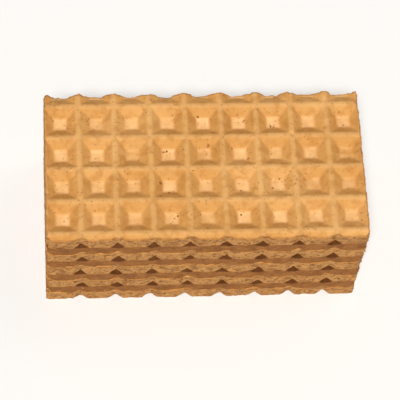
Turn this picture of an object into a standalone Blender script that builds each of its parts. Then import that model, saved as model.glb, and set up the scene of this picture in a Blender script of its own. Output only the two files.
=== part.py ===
"""A bite-sized cream wafer, sawn from a larger slab.

Five crisp wafer sheets lie on one another with a thin layer of cocoa cream between each two.
A sheet is baked between two engraved plates. The upper plate leaves square pits framed by thin
ridges, and the lower plate leaves a V-shaped groove under each ridge, so that the baked wall is
about as thick everywhere. The grooves run right through and show as small dark triangles in the
sawn sides, above each line of cream.

Units are metres, +Z is up and +X runs along the wafer. The origin is the middle of the footprint,
on the surface that the wafer lies on.
"""
import math
import random

import bmesh
import bpy
from mathutils import Matrix, Vector

# The baked grid and the cut of the slab.
CELL = 0.0050                   # spacing of the ridges, the same in both directions
CELLS_LONG = 9.0                # the saw runs along a ridge at both ends
CELLS_SHORT = 4.7               # the long cuts fall between ridges
FIRST_RIDGE = 0.235             # from the front cut to the first ridge along the wafer, in cells

# The stack.
SHEET_COUNT = 5
SHEET_THICKNESS = 0.0028        # ridge tops to underside
LAYER_PITCH = 0.00405           # from one sheet's underside to the next one's
CONTACT_GAP = 0.00025           # left between a sheet and the cream that it touches

# The relief of a sheet.
RIDGE_WIDTH = 0.0007            # flat top of a ridge
PIT_DEPTH = 0.0011
PIT_FLOOR = 0.0016              # side of a pit's square floor
GROOVE_WIDTH = 0.0019           # at the underside
GROOVE_HEIGHT_ACROSS = 0.0012   # of the grooves that show in the two long sides
GROOVE_HEIGHT_ALONG = 0.0010    # of those that show at the two ends

# The saw leaves a crumbly outline, and the cream stays a little back from it.
CRUMBLE = 0.00025               # deepest bite out of a sheet's outline
OUTLINE_STEP = CELL / 2         # spacing of the outline's points
CREAM_INSET = 0.00035
SEED = 9

OVERSHOOT = 0.00015             # how far a cutter stands out of the face that it cuts

LENGTH = CELLS_LONG * CELL
WIDTH = CELLS_SHORT * CELL
TOP = (SHEET_COUNT - 1) * LAYER_PITCH + SHEET_THICKNESS
UNDERSIDES = [level * LAYER_PITCH for level in range(SHEET_COUNT)]

WAFER_COLOUR = (0.72, 0.39, 0.14, 1.0)
CREAM_COLOUR = (0.27, 0.11, 0.04, 1.0)


def clear_scene():
    for thing in list(bpy.data.objects):
        bpy.data.objects.remove(thing, do_unlink=True)


def new_collection(name):
    collection = bpy.data.collections.new(name)
    bpy.context.scene.collection.children.link(collection)
    return collection


def baked_material(name, colour, roughness):
    material = bpy.data.materials.new(name)
    material.use_nodes = True
    shader = material.node_tree.nodes["Principled BSDF"]
    shader.inputs["Base Color"].default_value = colour
    shader.inputs["Roughness"].default_value = roughness
    shader.inputs["Metallic"].default_value = 0.0
    return material


def ridge_lines_across():
    """The x of each ridge that runs across the wafer, without the two that the saw follows."""
    return [-LENGTH / 2 + CELL * number for number in range(1, round(CELLS_LONG))]


def ridge_lines_along():
    """The y of each ridge that runs along the wafer, from front to back."""
    count = math.floor(CELLS_SHORT - FIRST_RIDGE) + 1
    return [-WIDTH / 2 + CELL * (FIRST_RIDGE + number) for number in range(count)]


def pit_centres():
    """The middle of each pit, with the pits that the long cuts go through."""
    columns = [-LENGTH / 2 + CELL * (number + 0.5) for number in range(round(CELLS_LONG))]
    along = ridge_lines_along()
    rows = [along[0] - CELL / 2] + [line + CELL / 2 for line in along]
    return [(x, y) for y in rows for x in columns]


def sawn_outline(inset, depth, rng):
    """The corners of a rectangle and points between them, each moved inwards by up to depth."""
    half_long = LENGTH / 2 - inset
    half_short = WIDTH / 2 - inset
    corners = [Vector((-half_long, -half_short)), Vector((half_long, -half_short)),
               Vector((half_long, half_short)), Vector((-half_long, half_short))]
    points = []
    for number, corner in enumerate(corners):
        side = corners[(number + 1) % len(corners)] - corner
        inwards = Vector((-side.y, side.x)).normalized()
        points.append(corner + (inwards + side.normalized()) * depth * rng.random())
        steps = round(side.length / OUTLINE_STEP)
        for step in range(steps):
            along = side * (step + 0.5) / steps
            points.append(corner + along + inwards * depth * rng.random())
    return points


def slab(name, outline, underside, thickness, material, collection):
    """A flat slab: the outline's face, extruded upwards."""
    bm = bmesh.new()
    corners = [bm.verts.new((point.x, point.y, underside)) for point in outline]
    base = bm.faces.new(corners)
    top = bmesh.ops.extrude_face_region(bm, geom=[base])
    raised = [item for item in top["geom"] if isinstance(item, bmesh.types.BMVert)]
    bmesh.ops.translate(bm, verts=raised, vec=(0, 0, thickness))
    bmesh.ops.recalc_face_normals(bm, faces=bm.faces)
    return mesh_object(name, bm, material, collection)


def mesh_object(name, bm, material, collection):
    mesh = bpy.data.meshes.new(name)
    bm.to_mesh(mesh)
    bm.free()
    if material:
        mesh.materials.append(material)
    piece = bpy.data.objects.new(name, mesh)
    collection.objects.link(piece)
    return piece


def cutter(name, bm, collection):
    piece = mesh_object(name, bm, None, collection)
    piece.hide_render = True
    piece.display_type = "WIRE"
    return piece


def pit_cutter(collection):
    """A square frustum, narrow end down, for every pit in the top sheet."""
    opening = CELL - RIDGE_WIDTH
    widening = (opening - PIT_FLOOR) / PIT_DEPTH * OVERSHOOT
    corner = math.sqrt(0.5)
    height = PIT_DEPTH + OVERSHOOT
    bm = bmesh.new()
    for x, y in pit_centres():
        place = Matrix.Translation((x, y, TOP - PIT_DEPTH + height / 2))
        bmesh.ops.create_cone(
            bm, cap_ends=True, segments=4, radius1=PIT_FLOOR * corner,
            radius2=(opening + widening) * corner, depth=height,
            matrix=place @ Matrix.Rotation(math.radians(45), 4, "Z"))
    return cutter("pits_cutter", bm, collection)


def groove(bm, x, y, underside, along_x):
    """A three-sided bar with one edge up, which cuts one groove in a sheet's underside."""
    side = math.sqrt(3)         # of a triangle in a circle of radius 1, which is 1.5 high
    depth = GROOVE_HEIGHT_ALONG if along_x else GROOVE_HEIGHT_ACROSS
    height = depth + OVERSHOOT
    width = GROOVE_WIDTH * height / depth
    length = (LENGTH if along_x else WIDTH) + 2 * CELL
    across_bar = Matrix.Diagonal((height / 1.5, width / side, 1.0, 1.0))
    upright = Matrix.Rotation(math.radians(-90), 4, "Y")
    heading = Matrix.Rotation(0.0 if along_x else math.radians(90), 4, "Z")
    centre = underside - OVERSHOOT + height / 3
    bar = bmesh.ops.create_cone(bm, cap_ends=True, segments=3, radius1=1.0, radius2=1.0,
                                depth=length)
    turned = Matrix.Translation((x, y, centre)) @ heading @ upright @ across_bar
    first_up = Matrix.Rotation(math.radians(-90), 4, "Z")
    bmesh.ops.transform(bm, matrix=turned @ first_up, verts=bar["verts"])


def groove_cutter(name, along_x, collection):
    bm = bmesh.new()
    for underside in UNDERSIDES:
        if along_x:
            for y in ridge_lines_along():
                groove(bm, 0.0, y, underside, along_x)
        else:
            for x in ridge_lines_across():
                groove(bm, x, 0.0, underside, along_x)
    bmesh.ops.recalc_face_normals(bm, faces=bm.faces)
    return cutter(name, bm, collection)


def cut_away(piece, tool):
    boolean = piece.modifiers.new(tool.name, "BOOLEAN")
    boolean.operation = "DIFFERENCE"
    boolean.solver = "EXACT"
    boolean.object = tool


def build():
    clear_scene()
    wafer = new_collection("cream_wafer")
    tools = new_collection("cutters")
    crisp = baked_material("crisp_wafer", WAFER_COLOUR, 0.75)
    cocoa = baked_material("cocoa_cream", CREAM_COLOUR, 0.55)
    rng = random.Random(SEED)

    grooves_across = groove_cutter("grooves_across_cutter", False, tools)
    grooves_along = groove_cutter("grooves_along_cutter", True, tools)
    pits = pit_cutter(tools)

    for number, underside in enumerate(UNDERSIDES, start=1):
        outline = sawn_outline(0.0, CRUMBLE, rng)
        sheet = slab(f"sheet_{number}", outline, underside, SHEET_THICKNESS, crisp, wafer)
        cut_away(sheet, grooves_across)
        cut_away(sheet, grooves_along)
        if number == SHEET_COUNT:
            cut_away(sheet, pits)

    cream_thickness = LAYER_PITCH - SHEET_THICKNESS - 2 * CONTACT_GAP
    for number, underside in enumerate(UNDERSIDES[:-1], start=1):
        outline = sawn_outline(CREAM_INSET, CRUMBLE, rng)
        level = underside + SHEET_THICKNESS + CONTACT_GAP
        slab(f"cream_{number}", outline, level, cream_thickness, cocoa, wafer)


build()
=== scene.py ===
"""The looks of a bite-sized cream wafer: baked sheets, cocoa cream, crumbs, and a pale studio."""

import math

import bpy
from mathutils import Matrix, Vector


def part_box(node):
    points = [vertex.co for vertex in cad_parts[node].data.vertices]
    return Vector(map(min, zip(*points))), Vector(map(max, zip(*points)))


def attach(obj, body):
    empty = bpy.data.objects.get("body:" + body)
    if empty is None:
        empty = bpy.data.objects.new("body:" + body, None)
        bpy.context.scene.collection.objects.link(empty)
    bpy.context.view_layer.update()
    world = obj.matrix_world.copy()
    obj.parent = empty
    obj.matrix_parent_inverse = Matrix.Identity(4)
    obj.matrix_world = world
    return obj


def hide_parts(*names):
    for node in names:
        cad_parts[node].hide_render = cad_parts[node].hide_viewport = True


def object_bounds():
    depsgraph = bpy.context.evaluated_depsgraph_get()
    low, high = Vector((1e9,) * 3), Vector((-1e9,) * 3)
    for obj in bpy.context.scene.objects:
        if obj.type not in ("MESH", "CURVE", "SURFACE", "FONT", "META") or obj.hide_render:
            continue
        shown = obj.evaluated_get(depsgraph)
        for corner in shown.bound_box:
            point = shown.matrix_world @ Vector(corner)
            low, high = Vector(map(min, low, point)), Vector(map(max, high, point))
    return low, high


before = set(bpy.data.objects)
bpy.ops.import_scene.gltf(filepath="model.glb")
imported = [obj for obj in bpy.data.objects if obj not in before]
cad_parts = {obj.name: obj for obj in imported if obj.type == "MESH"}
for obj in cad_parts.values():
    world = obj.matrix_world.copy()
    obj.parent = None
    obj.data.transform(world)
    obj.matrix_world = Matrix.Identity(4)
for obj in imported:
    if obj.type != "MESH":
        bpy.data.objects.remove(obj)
cad_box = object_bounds()


# ---------------------------------------------------------------------------------------------
# Baked relief.
# Batter is baked between two engraved plates. The upper plate leaves square pits framed by thin
# ridges, the lower plate a V-shaped groove under every ridge. Every sheet has the same relief.
# ---------------------------------------------------------------------------------------------

MM = 0.001                      # sizes are in millimetres, except in the studio
sheet_low, sheet_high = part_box("sheet_5")
LENGTH = (sheet_high.x - sheet_low.x) / MM
WIDTH = (sheet_high.y - sheet_low.y) / MM
SHEET = (sheet_high.z - sheet_low.z) / MM

CELL = 5.0                      # from ridge to ridge
FIRST_RIDGE = 1.175             # from the front cut to the first ridge along the wafer
RIDGE_WIDTH = 0.5
PIT_FLOOR = 1.4
PIT_DEPTH = 1.1
GROOVE_WIDTH = 2.15
GROOVE_HEIGHT = 1.45
LOWER_ALONG = 0.85              # the grooves along the wafer, as a share of that height
PLAIN_END = (1.8, 2.4)          # from an end: where the grooves across begin, and are whole
WANDER = 0.32                   # how much a ridge strays from its line
GRAIN = 0.17
NICK = 0.25


class Field:
    """A node socket that plain arithmetic can be written with. Each operation is a Math node."""

    tree = None

    def __init__(self, socket):
        self.socket = socket

    def __add__(self, other):
        return math_node("ADD", self, other)

    def __radd__(self, other):
        return math_node("ADD", other, self)

    def __sub__(self, other):
        return math_node("SUBTRACT", self, other)

    def __rsub__(self, other):
        return math_node("SUBTRACT", other, self)

    def __mul__(self, other):
        return math_node("MULTIPLY", self, other)

    def __rmul__(self, other):
        return math_node("MULTIPLY", other, self)

    def __truediv__(self, other):
        return math_node("DIVIDE", self, other)


def feed(slot, value):
    """Links a field or a socket to a node's input, or sets it to a plain value."""
    if isinstance(value, Field):
        value = value.socket
    if isinstance(value, bpy.types.NodeSocket):
        Field.tree.links.new(value, slot)
    else:
        slot.default_value = value


def add_node(kind, inputs=None, output=0, **settings):
    """Adds a node, sets it up, and returns one of its outputs as a field."""
    node = Field.tree.nodes.new(kind)
    for name, value in settings.items():
        setattr(node, name, value)
    for name, value in (inputs or {}).items():
        feed(node.inputs[name], value)
    return Field(node.outputs[output])


def math_node(operation, *values):
    return add_node("ShaderNodeMath", dict(enumerate(values)), operation=operation)


def largest(a, b):
    return math_node("MAXIMUM", a, b)


def size_of(a):
    return math_node("ABSOLUTE", a)


def ramp(value, low, high, smooth=True):
    """0 below low, 1 above high."""
    return add_node("ShaderNodeMapRange", {"Value": value, "From Min": low, "From Max": high},
                    interpolation_type="SMOOTHSTEP" if smooth else "LINEAR")


def xyz(position):
    node = Field.tree.nodes.new("ShaderNodeSeparateXYZ")
    feed(node.inputs[0], position)
    return [Field(output) for output in node.outputs]


def vector(x, y, z):
    return add_node("ShaderNodeCombineXYZ", {0: x, 1: y, 2: z})


def noise(place, size, seed=0.0, detail=2.0):
    """Smooth noise from about 0.2 to 0.8, in lumps of the given size in millimetres."""
    return add_node("ShaderNodeTexNoise", {"Vector": place, "W": seed, "Scale": 1.0 / size,
                                           "Detail": detail, "Roughness": 0.55},
                    noise_dimensions="4D")


def new_tree(name, inputs):
    """A geometry node tree with the given inputs, ready for nodes, and its inputs as fields."""
    tree = bpy.data.node_groups.new(name, "GeometryNodeTree")
    tree.interface.new_socket("Geometry", in_out="INPUT", socket_type="NodeSocketGeometry")
    for label, kind in inputs.items():
        tree.interface.new_socket(label, in_out="INPUT", socket_type=kind)
    Field.tree = tree
    group_input = tree.nodes.new("NodeGroupInput")
    return tree, {socket.name: Field(socket) for socket in group_input.outputs if socket.name}


def tree_output(tree, outputs):
    """outputs maps a name to (socket kind, value)."""
    for label, (kind, _) in outputs.items():
        tree.interface.new_socket(label, in_out="OUTPUT", socket_type=kind)
    group_output = tree.nodes.new("NodeGroupOutput")
    for label, (_, value) in outputs.items():
        feed(group_output.inputs[label], value)


FLOAT, INT, GEOMETRY = "NodeSocketFloat", "NodeSocketInt", "NodeSocketGeometry"

relief_tree, given = new_tree("Baked relief", {
    "X": FLOAT, "Y": FLOAT, "First Ridge X": FLOAT, "First Ridge Y": FLOAT, "Seed": FLOAT})
place = vector(given["X"], given["Y"], 0.0)

# The sheet shrinks a little unevenly as it cools, so no ridge is quite straight.
shrink = WANDER * (noise(place, 10.0, given["Seed"], detail=1.0) - 0.5)
from_ridge_x = given["X"] - given["First Ridge X"] + shrink
from_ridge_y = given["Y"] - given["First Ridge Y"] - shrink
to_ridge_x = math_node("PINGPONG", from_ridge_x, CELL / 2)
to_ridge_y = math_node("PINGPONG", from_ridge_y, CELL / 2)

# Down a flat wall from a ridge's top, 0, to a pit's floor, 1, with rounded corners.
wall = (CELL - PIT_FLOOR - RIDGE_WIDTH) / 2
down_x = (to_ridge_x - RIDGE_WIDTH / 2) / wall
down_y = (to_ridge_y - RIDGE_WIDTH / 2) / wall
down = math_node("SMOOTH_MIN", down_x, down_y, 0.15)
pit = math_node("SMOOTH_MAX", math_node("SMOOTH_MIN", down, 1.0, 0.16), 0.0, 0.14)
cell_number = vector(math_node("FLOOR", from_ridge_x / CELL),
                     math_node("FLOOR", from_ridge_y / CELL), given["Seed"])
own_number = add_node("ShaderNodeTexWhiteNoise", {"Vector": cell_number})
depth = PIT_DEPTH * (0.90 + 0.14 * own_number)
grain = noise(place, 0.77, given["Seed"] + 7.0, detail=3.0)
nick = ramp(noise(place, 1.33, given["Seed"] + 3.0), 0.62, 0.74) * (1.0 - pit)
top_relief = -GRAIN * grain - depth * pit - NICK * nick

# The grooves under the two end ridges went with the saw cuts.
from_end = LENGTH / 2 - size_of(given["X"])
groove_x = ramp(from_end, *PLAIN_END) - to_ridge_x / (GROOVE_WIDTH / 2)
groove_y = 1.0 - to_ridge_y / (GROOVE_WIDTH / 2)
under_relief = GROOVE_HEIGHT * largest(largest(groove_x, LOWER_ALONG * groove_y), 0.0)
tree_output(relief_tree, {"Top": (FLOAT, top_relief), "Under": (FLOAT, under_relief),
                          "Pit": (FLOAT, pit), "Tone": (FLOAT, own_number)})


# ---------------------------------------------------------------------------------------------
# Wafer sheets.
# Crisp baked sheets, golden brown outside and paler and full of fine bubbles inside, which the
# saw leaves as a crumbly, notched edge with chips broken out of its rims.
# ---------------------------------------------------------------------------------------------

SHEETS = 5
STACK = cad_box[1].z / MM
RIM = 0.9                       # how far in from a cut the crumbling reaches
MARGIN = 0.03                   # keeps the cuts inside the solid's box
CRUMBLE = 0.35
CAVITY_DEPTH = 0.45
BLADE_WANDER = 0.15
CHIP_ABOVE = 0.30               # how far a chip reaches down from a sheet's upper rim
CHIP_BELOW = 0.12               # and up from its lower rim
SAG = 2.0
SHEET_LEVELS = 14               # of vertices, from the underside to the top
STEP = 0.25                     # from vertex to vertex
FINE_STEP = 0.167               # in the top sheet, whose pits show
SHARP_ANGLE = 55.0


def relief(x, y, slip, seed):
    """Nodes for the relief at a place: top and under in millimetres, pit and tone from 0 to 1."""
    node = Field.tree.nodes.new("GeometryNodeGroup")
    node.node_tree = relief_tree
    for label, value in {"X": x, "Y": y, "First Ridge X": slip - LENGTH / 2,
                         "First Ridge Y": slip - WIDTH / 2 + FIRST_RIDGE, "Seed": seed}.items():
        feed(node.inputs[label], value)
    return [Field(node.outputs[label]) for label in ("Top", "Under", "Pit", "Tone")]


def settled(x, y, height):
    """The height of a place after the stack has sagged, the same for everything that meets."""
    part = height / STACK
    wave = noise(vector(x, y, 2.0 * height), 14.3, 40.0, detail=1.0) - 0.5
    return height + SAG * wave * part * (1.0 - part)


def fine_box(length, width, height_steps, step):
    """A box one unit high, cut into even steps: its mesh, and its vertices' x, y and height."""
    counts = {"Vertices X": math_node("CEIL", length / step) + 1.0,
              "Vertices Y": math_node("CEIL", width / step) + 1.0,
              "Vertices Z": height_steps}
    mesh = add_node("GeometryNodeMeshCube", {"Size": vector(length, width, 1.0), **counts})
    x, y, z = xyz(add_node("GeometryNodeInputPosition"))
    return mesh, x, y, z + 0.5


def keep(mesh, name, value):
    """Stores a value on the points for the material, or for later in the tree."""
    return add_node("GeometryNodeStoreNamedAttribute", {
        "Geometry": mesh, "Name": name, "Value": value}, data_type="FLOAT", domain="POINT")


def drawn_out(place, along, up):
    """The place in a sheet whose bubbles rising steam has drawn out along it."""
    return add_node("ShaderNodeVectorMath", {0: place, 1: (along, along, up)},
                    operation="MULTIPLY")


def from_bubble(place, size):
    """How far the nearest bubble's middle is, as a share of the bubbles' spacing."""
    return add_node("ShaderNodeTexVoronoi", {"Vector": place, "Scale": 1.0 / size})


def sawn(x, y, height, length, width, crumble, core, seed):
    """x and y moved in from the four cuts by what broke away there, how near a cut is, and
    whether the saw opened a cavity, both 0 to 1. core is 1 where cavities can be."""
    near_end = 1.0 - ramp(length / 2 - size_of(x), 0.0, RIM)
    near_side = 1.0 - ramp(width / 2 - size_of(y), 0.0, RIM)
    end, side = math_node("SIGN", x), math_node("SIGN", y)

    def opened(at):
        here = core * ramp(noise(at, 2.5, seed + 13.0), 0.42, 0.58)
        return here * (1.0 - ramp(from_bubble(drawn_out(at, 0.55, 1.25), 1.0), 0.14, 0.36))

    def lost(at, near_corner, cavity):
        blade = noise(at, 20.0, 50.0, detail=0.0)
        coarse = ramp(noise(at, 1.8, seed, detail=1.0), 0.45, 0.75)
        fine = noise(at, 0.38, seed + 5.0)
        corner = near_corner * ramp(noise(at, 1.25, seed + 8.0), 0.35, 0.65)
        crumbs = crumble * (0.50 * coarse + 0.65 * fine + 0.90 * corner)
        return BLADE_WANDER * blade + crumbs + CAVITY_DEPTH * cavity

    # Each cut reads the noise far from the others, so that no two break alike.
    far = 40.0
    at_end, at_side = vector(end * far, y, height), vector(x, side * far, height)
    end_cavity, side_cavity = near_end * opened(at_end), near_side * opened(at_side)
    new_x = x - end * near_end * lost(at_end, near_side, end_cavity)
    new_y = y - side * near_side * lost(at_side, near_end, side_cavity)
    return new_x, new_y, largest(near_end, near_side), largest(end_cavity, side_cavity)


sheet_tree, given = new_tree("Wafer sheet", {
    "Length": FLOAT, "Width": FLOAT, "Thickness": FLOAT, "Underside": FLOAT, "Step": FLOAT,
    "Crumble": FLOAT, "Slip": FLOAT, "Seed": FLOAT, "Material": "NodeSocketMaterial"})
seed = given["Seed"]
mesh, x, y, rise = fine_box(given["Length"], given["Width"], SHEET_LEVELS, given["Step"])
top, under, pit, tone = relief(x, y, given["Slip"], seed)
height = given["Underside"] + under + rise * (given["Thickness"] + top - under)
core = 1.0 - ramp(size_of(rise - 0.5), 0.22, 0.36)
new_x, new_y, near_cut, cavity = sawn(x, y, height, given["Length"], given["Width"],
                                      given["Crumble"], core, seed)
chip = ramp(noise(vector(x, y, 0.0), 1.1, seed + 11.0), 0.50, 0.66) * near_cut * near_cut
height = height - CHIP_ABOVE * chip * rise + CHIP_BELOW * chip * (1.0 - rise)
on_cut = ramp(near_cut, 0.80, 0.97)
for name, value in (("cut", on_cut), ("cavity", cavity), ("pit", pit), ("tone", tone),
                    ("rise", rise)):
    mesh = keep(mesh, name, value)


def finish_tree(tree, mesh, x, y, z, material):
    """Moves the vertices to x, y and z in millimetres, and ends the tree."""
    mesh = add_node("GeometryNodeSetPosition", {
        "Geometry": mesh, "Position": vector(x * MM, y * MM, z * MM)})
    mesh = add_node("GeometryNodeRealizeInstances", {"Geometry": mesh})
    mesh = add_node("GeometryNodeSetMaterial", {"Geometry": mesh, "Material": material})
    tree_output(tree, {"Geometry": (GEOMETRY, mesh)})


finish_tree(sheet_tree, mesh, new_x, new_y, settled(new_x, new_y, height), given["Material"])


def make_piece(name, tree, values):
    """Runs a tree with the given inputs and returns the result as an object with a plain mesh."""
    piece = bpy.data.objects.new(name, bpy.data.meshes.new(name))
    bpy.context.scene.collection.objects.link(piece)
    modifier = piece.modifiers.new(name, "NODES")
    modifier.node_group = tree
    for item in tree.interface.items_tree:
        if item.in_out == "INPUT" and item.name in values:
            modifier[item.identifier] = values[item.name]
    evaluated = piece.evaluated_get(bpy.context.evaluated_depsgraph_get())
    mesh = bpy.data.meshes.new_from_object(evaluated)
    piece.modifiers.remove(modifier)
    piece.data = mesh
    mesh.name = name
    mesh.shade_smooth()
    mesh.set_sharp_from_angle(angle=math.radians(SHARP_ANGLE))
    return piece


def new_material(name):
    """An empty material whose tree the helpers above now build in, and its shader."""
    material = bpy.data.materials.new(name)
    material.use_nodes = True
    Field.tree = material.node_tree
    return material, material.node_tree.nodes["Principled BSDF"]


def attribute(name):
    return add_node("ShaderNodeAttribute", attribute_name=name, output=2)


def object_place():
    """Object coordinates, in millimetres."""
    place = add_node("ShaderNodeTexCoord", output=3)
    return add_node("ShaderNodeVectorMath", {0: place, "Scale": 1.0 / MM}, operation="SCALE")


def blend(amount, first, second):
    """Mixes two colours; amount 0 is the first."""
    return add_node("ShaderNodeMix", {0: amount, 6: first, 7: second}, output=2,
                    data_type="RGBA")


def bumps(height, distance, strength, under=None):
    """A normal with relief of the given depth in millimetres, over another normal if given."""
    inputs = {"Height": height, "Distance": distance * MM, "Strength": strength}
    if under:
        inputs["Normal"] = under
    return add_node("ShaderNodeBump", inputs)


GOLDEN = (0.610, 0.302, 0.085, 1.0)
TOASTED = (0.420, 0.162, 0.028, 1.0)
PALE = (0.745, 0.417, 0.148, 1.0)
# painted highlight, for the ridges' tops and the pits' floors
PAINTED_HIGHLIGHT = (0.870, 0.536, 0.248, 1.0)
SCORCHED = (0.240, 0.080, 0.020, 1.0)
CRUMB = (0.505, 0.250, 0.083, 1.0)
# painted shade, inside the foam's bubbles and the cavities the saw opened
HOLLOW_SHADE = (0.235, 0.084, 0.017, 1.0)
SMEARED = (0.340, 0.140, 0.036, 1.0)

crisp, shader = new_material("crisp_wafer")
place = object_place()
in_pit, tone = attribute("pit"), attribute("tone")
on_cut, cavity, rise = attribute("cut"), attribute("cavity"), attribute("rise")

# The skin: painted highlight on the ridges and in the pits' floors, browner on the walls between.
mottle = noise(place, 1.1, 4.0, detail=4.0)
on_ridge = 1.0 - ramp(in_pit, 0.0, 0.16)
skin = blend(0.5 * ramp(noise(place, 11.0, detail=3.0), 0.35, 0.65), GOLDEN, PALE)
# Painted highlight along the ridges' tops.
skin = blend(0.20 * on_ridge, skin, PAINTED_HIGHLIGHT)
skin = blend(0.42 * ramp(mottle, 0.42, 0.68), skin, TOASTED)
# Painted highlight in the pits' floors, stronger in some cells than in others.
floor_highlight = 0.30 + 0.42 * tone + 1.2 * (noise(place, 1.4, 14.0) - 0.5)
skin = blend(ramp(in_pit, 0.70, 1.0) * floor_highlight, skin, PAINTED_HIGHLIGHT)
skin = blend(0.7 * ramp(noise(place, 0.42, 9.0, detail=1.0), 0.70, 0.78), skin, SCORCHED)

# Steam left pinholes in it, wider ones in some places than in others, with painted shade in them.
wide = ramp(noise(place, 2.9, 21.0), 0.40, 0.70)
pinhole = 1.0 - ramp(from_bubble(place, 0.62), 0.06 + 0.05 * wide, 0.12 + 0.07 * wide)
# Painted shade inside the pinholes.
skin = blend(0.75 * pinhole, skin, TOASTED)

# The sawn foam: bubbles drawn out along the sheet, thin skins, and cream that the saw dragged.
foam = drawn_out(place, 0.7, 1.1)
hollow = largest(0.6 - 0.6 * ramp(from_bubble(foam, 0.29), 0.08, 0.40),
                 1.0 - ramp(from_bubble(foam, 0.77), 0.08, 0.24))
near_skin = ramp(size_of(rise - 0.5), 0.38, 0.48)
spongy = noise(foam, 0.62, 12.0, detail=4.0)
hollow = (1.0 - 0.8 * near_skin) * largest(hollow, 0.7 * ramp(spongy, 0.50, 0.66))
inside = blend(0.45 * near_skin + 0.2 * ramp(mottle, 0.4, 0.7), CRUMB, TOASTED)
# Painted shade inside the bubbles and in the cavities that the saw opened.
inside = blend(largest(hollow, 0.5 * cavity), inside, HOLLOW_SHADE)
smear = ramp(noise(place, 1.7, 6.0, detail=3.0), 0.50, 0.62) * (0.2 + 0.7 * near_skin)
inside = blend(smear, inside, SMEARED)

feed(shader.inputs["Base Color"], blend(on_cut, skin, inside))
feed(shader.inputs["Roughness"], 0.62 + 0.20 * mottle)
shader.inputs["Specular IOR Level"].default_value = 0.12
normal = bumps(ramp(from_bubble(place, 0.29), 0.0, 0.35), 0.05, 0.5)
normal = bumps(1.0 - pinhole * (1.0 - on_cut), 0.12, 0.8, normal)
normal = bumps(noise(place, 0.17, 2.0, detail=3.0), 0.05, 0.7, normal)
feed(shader.inputs["Normal"], bumps(1.0 - hollow * on_cut, 0.20, 1.0, normal))

SLIPS = {1: 0.10, 2: 0.28, 3: -0.02, 4: 0.20, 5: 0.0}       # each sheet's, as it was laid down
sheet_seeds = {number: 1.7 * number + 2.0 for number in range(1, SHEETS + 1)}
for number in range(1, SHEETS + 1):
    low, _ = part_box(f"sheet_{number}")
    on_top = number == SHEETS
    sheet = make_piece(f"wafer_sheet_{number}", sheet_tree, {
        "Length": LENGTH - 2 * MARGIN, "Width": WIDTH - 2 * MARGIN, "Thickness": SHEET,
        "Underside": low.z / MM, "Step": FINE_STEP if on_top else STEP, "Crumble": CRUMBLE,
        "Slip": SLIPS[number], "Seed": sheet_seeds[number], "Material": crisp})
    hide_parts(f"sheet_{number}")
    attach(sheet, "root")


# ---------------------------------------------------------------------------------------------
# Cocoa cream.
# Firm fat cream, spread on a sheet so that it fills the pits, with the next sheet pressed on
# top. It is a little back from the cuts, and the saw has left its edge rough.
# ---------------------------------------------------------------------------------------------

CREAM_SET_BACK = 0.12
CREAM_CRUMBLE = 0.30
SQUEEZED_UP = 1.1               # into a groove, well inside the stack
SUNK = 0.4                      # below a groove, near a cut
RISING = (1.5, 3.0)             # from a cut: where it starts to rise, and is fully up
CREAM_LEVELS = 8

cream_tree, given = new_tree("Cream layer", {
    "Length": FLOAT, "Width": FLOAT, "Sheet Top": FLOAT, "Next Underside": FLOAT,
    "Step": FLOAT, "Crumble": FLOAT, "Slip": FLOAT, "Next Slip": FLOAT, "Sheet Seed": FLOAT,
    "Next Seed": FLOAT, "Seed": FLOAT, "Material": "NodeSocketMaterial"})
mesh, x, y, rise = fine_box(given["Length"], given["Width"], CREAM_LEVELS, given["Step"])
filled, _, _, _ = relief(x, y, given["Slip"], given["Sheet Seed"])
_, groove, _, _ = relief(x, y, given["Next Slip"], given["Next Seed"])
from_cut = math_node("MINIMUM", LENGTH / 2 - size_of(x), WIDTH / 2 - size_of(y))
pressed = ramp(noise(vector(x, y, 0.0), 6.25, given["Seed"]), 0.45, 0.55)
bulge = SQUEEZED_UP * pressed * ramp(from_cut, *RISING) - SUNK * (1.0 - pressed)
lower = given["Sheet Top"] + filled
upper = given["Next Underside"] + bulge * ramp(groove, 0.0, 0.9, smooth=False)
height = lower + rise * (upper - lower)
new_x, new_y, _, _ = sawn(x, y, height, given["Length"], given["Width"], given["Crumble"],
                          0.0, given["Seed"])
# Marks the cream's top inside the next sheet's grooves, for painted shade there.
mesh = keep(mesh, "groove_shade", ramp(groove, 0.0, 0.5) * ramp(rise, 0.85, 1.0))
finish_tree(cream_tree, mesh, new_x, new_y, settled(new_x, new_y, height), given["Material"])

COCOA = (0.235, 0.086, 0.019, 1.0)
COCOA_LIGHT = (0.325, 0.129, 0.032, 1.0)
COCOA_DARK = (0.110, 0.036, 0.009, 1.0)

cocoa, shader = new_material("cocoa_cream")
place = object_place()
streaks = noise(place, 1.25, 3.0, detail=4.0)
colour = blend(ramp(streaks, 0.35, 0.65), COCOA, COCOA_LIGHT)
colour = blend(ramp(noise(place, 0.33, 8.0), 0.60, 0.72), colour, COCOA_DARK)
wafer_dust = ramp(noise(place, 0.45, 5.0, detail=4.0), 0.62, 0.68)
colour = blend(0.8 * wafer_dust, colour, CRUMB)
# Painted shade on the cream inside the grooves.
colour = blend(0.85 * attribute("groove_shade"), colour, COCOA_DARK)
feed(shader.inputs["Base Color"], colour)
feed(shader.inputs["Roughness"], 0.55 + 0.25 * streaks)
shader.inputs["Specular IOR Level"].default_value = 0.12
wiped = noise(place, 0.25, 1.0, detail=3.0)
normal = bumps(wiped + 0.8 * wafer_dust, 0.10, 0.9)
feed(shader.inputs["Normal"], bumps(noise(place, 1.1, 7.0, detail=3.0), 0.5, 0.7, normal))

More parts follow.
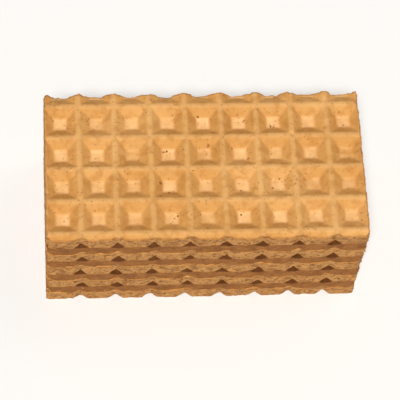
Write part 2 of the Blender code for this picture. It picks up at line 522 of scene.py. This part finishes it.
for number in range(1, SHEETS):
    below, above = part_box(f"sheet_{number}"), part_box(f"sheet_{number + 1}")
    cream = make_piece(f"cream_layer_{number}", cream_tree, {
        "Length": LENGTH - 2 * CREAM_SET_BACK, "Width": WIDTH - 2 * CREAM_SET_BACK,
        "Sheet Top": below[1].z / MM, "Next Underside": above[0].z / MM, "Step": STEP,
        "Crumble": CREAM_CRUMBLE, "Slip": SLIPS[number], "Next Slip": SLIPS[number + 1],
        "Sheet Seed": sheet_seeds[number], "Next Seed": sheet_seeds[number + 1],
        "Seed": 31.0 + number, "Material": cocoa})
    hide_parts(f"cream_{number}")
    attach(cream, "root")


# ---------------------------------------------------------------------------------------------
# Crumbs.
# What the saw broke off the sheets and the cream. Handling has shaken all of it down into the
# top sheet's pits, where it lies loose.
# ---------------------------------------------------------------------------------------------

SMALLEST_CRUMB = 0.15
SLIMMEST = (0.7, 0.6, 0.5)      # a crumb's length, width and height, as shares of its size
FATTEST = (1.3, 1.1, 0.9)
TILT = 0.4                      # in radians, as the next
FULL_TURN = 6.28
FROM_CUT = 1.0                  # no crumb lies nearer to a cut
LEAST_DOWN = 0.55               # nor higher than this, from a ridge, 0, to a pit's floor, 1

crumb_tree, given = new_tree("Crumbs", {
    "Count": INT, "Smallest": FLOAT, "Largest": FLOAT, "Sheet Top": FLOAT, "Sheet Seed": FLOAT,
    "Seed": INT, "Material": "NodeSocketMaterial"})


def drawn_at_random(low, high, draw):
    """A vector between low and high for each crumb; each draw is another one."""
    return add_node("FunctionNodeRandomValue", {0: low, 1: high, "Seed": given["Seed"] + draw},
                    data_type="FLOAT_VECTOR")


reach_x, reach_y = LENGTH / 2 - FROM_CUT, WIDTH / 2 - FROM_CUT
scattered = drawn_at_random((-reach_x, -reach_y, 0.0), (reach_x, reach_y, 0.0), 0.0)
points = add_node("GeometryNodePoints", {"Count": given["Count"], "Position": scattered})
x, y, _ = xyz(add_node("GeometryNodeInputPosition"))
top, _, pit, _ = relief(x, y, 0.0, given["Sheet Seed"])
points = add_node("GeometryNodeSetPosition", {
    "Geometry": points, "Position": vector(x, y, given["Sheet Top"] + top)})
points = add_node("GeometryNodeDeleteGeometry", {
    "Geometry": points, "Selection": math_node("LESS_THAN", pit, LEAST_DOWN)}, domain="POINT")
size = add_node("FunctionNodeRandomValue", {
    2: given["Smallest"], 3: given["Largest"], "Seed": given["Seed"]}, output=1)
points = keep(points, "size", size)
stretch = drawn_at_random(SLIMMEST, FATTEST, 1.0)
lump = add_node("GeometryNodeMeshIcoSphere", {"Radius": 0.5, "Subdivisions": 2})
crumbs = add_node("GeometryNodeInstanceOnPoints", {
    "Points": points, "Instance": lump,
    "Rotation": drawn_at_random((-TILT, -TILT, 0.0), (TILT, TILT, FULL_TURN), 2.0),
    "Scale": add_node("ShaderNodeVectorMath", {0: stretch, "Scale": size}, operation="SCALE")})
crumbs = add_node("GeometryNodeRealizeInstances", {"Geometry": crumbs})

# For the material they are mostly sawn foam, from the middle of a sheet's height.
for name, value in (("cut", 0.8), ("rise", 0.5)):
    crumbs = keep(crumbs, name, value)
x, y, z = xyz(add_node("GeometryNodeInputPosition"))
own_size = add_node("GeometryNodeInputNamedAttribute", {"Name": "size"}, data_type="FLOAT")
dent = own_size * (noise(vector(x, y, z), 0.2, 3.0, detail=1.0) - 0.5)
out_x, out_y, out_z = xyz(add_node("GeometryNodeInputNormal"))
finish_tree(crumb_tree, crumbs, x + dent * out_x, y + dent * out_y, z + dent * out_z,
            given["Material"])

for name, count, largest_size, seed, material, slot in (
        ("wafer_crumbs", 130, 0.48, 5, crisp, "crisp_wafer"),
        ("cream_crumbs", 60, 0.36, 8, cocoa, "cocoa_cream")):
    crumbs = make_piece(name, crumb_tree, {
        "Count": count, "Smallest": SMALLEST_CRUMB, "Largest": largest_size, "Sheet Top": STACK,
        "Sheet Seed": sheet_seeds[SHEETS], "Seed": seed, "Material": material})
    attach(crumbs, "root")


# ---------------------------------------------------------------------------------------------
# Studio.
# A pale floor, a soft lamp high in front and a little to the left, a weak and softer one from
# behind on the right, and a camera that looks down from the front as the photograph does.
# ---------------------------------------------------------------------------------------------

VIEW_AZIMUTH = -10.0
VIEW_ELEVATION = 62.0
VIEW_ROLL = 8.0
VIEW_DISTANCE = 0.30            # in metres, as the next
VIEW_MIDDLE = Vector((0.0, 0.0, 0.008))
LENS = 188.0
FLOOR_SIZE = 6.0                # in metres
PAPER = (0.82, 0.82, 0.815, 1.0)
DAYLIGHT = (1.0, 0.985, 0.965, 1.0)

bpy.ops.mesh.primitive_plane_add(size=FLOOR_SIZE)
floor = bpy.context.object
floor.name = "floor"
paper, shader = new_material("floor_paper")
shader.inputs["Base Color"].default_value = PAPER
shader.inputs["Roughness"].default_value = 0.9
floor.data.materials.append(paper)

# The walls are brighter than the ceiling, which keeps the pits' shading and lights the sides.
world = bpy.data.worlds.new("studio")
bpy.context.scene.world = world
world.use_nodes = True
Field.tree = world.node_tree
background = world.node_tree.nodes["Background"]
_, _, upwards = xyz(add_node("ShaderNodeTexCoord", output=0))
background.inputs["Color"].default_value = DAYLIGHT
feed(background.inputs["Strength"], 0.95 - 0.35 * ramp(upwards, 0.02, 0.12)
     - 0.50 * ramp(upwards, 0.0, 0.30))


def seen_from(azimuth, elevation):
    """The direction of a viewer or a lamp, and the turn that faces the wafer from there."""
    turn, lift = math.radians(azimuth), math.radians(elevation)
    back = Vector((math.sin(turn) * math.cos(lift), -math.cos(turn) * math.cos(lift),
                   math.sin(lift)))
    return back, (-back).to_track_quat("-Z", "Y")


def soft_lamp(name, azimuth, elevation, spread, strength, colour):
    """A lamp far away; its shadows soften with its spread in degrees."""
    light = bpy.data.lights.new(name, "SUN")
    light.angle = math.radians(spread)
    light.energy = strength
    light.color = colour
    lamp = bpy.data.objects.new(name, light)
    back, facing = seen_from(azimuth, elevation)
    lamp.matrix_world = Matrix.Translation(back) @ facing.to_matrix().to_4x4()
    bpy.context.scene.collection.objects.link(lamp)


soft_lamp("key_lamp", azimuth=-13.0, elevation=61.0, spread=12.0, strength=3.68,
          colour=(1.0, 0.98, 0.95))
soft_lamp("fill_lamp", azimuth=120.0, elevation=50.0, spread=37.0, strength=0.25,
          colour=(1.0, 0.98, 0.96))

camera_data = bpy.data.cameras.new("camera")
camera_data.lens = LENS
camera_data.clip_start = 0.01
camera = bpy.data.objects.new("camera", camera_data)
back, facing = seen_from(VIEW_AZIMUTH, VIEW_ELEVATION)
roll = Matrix.Rotation(math.radians(VIEW_ROLL), 4, "Z")
camera.matrix_world = (Matrix.Translation(VIEW_MIDDLE + back * VIEW_DISTANCE)
                       @ facing.to_matrix().to_4x4() @ roll)
bpy.context.scene.collection.objects.link(camera)
bpy.context.scene.camera = camera
bpy.context.scene.view_settings.view_transform = "Standard"
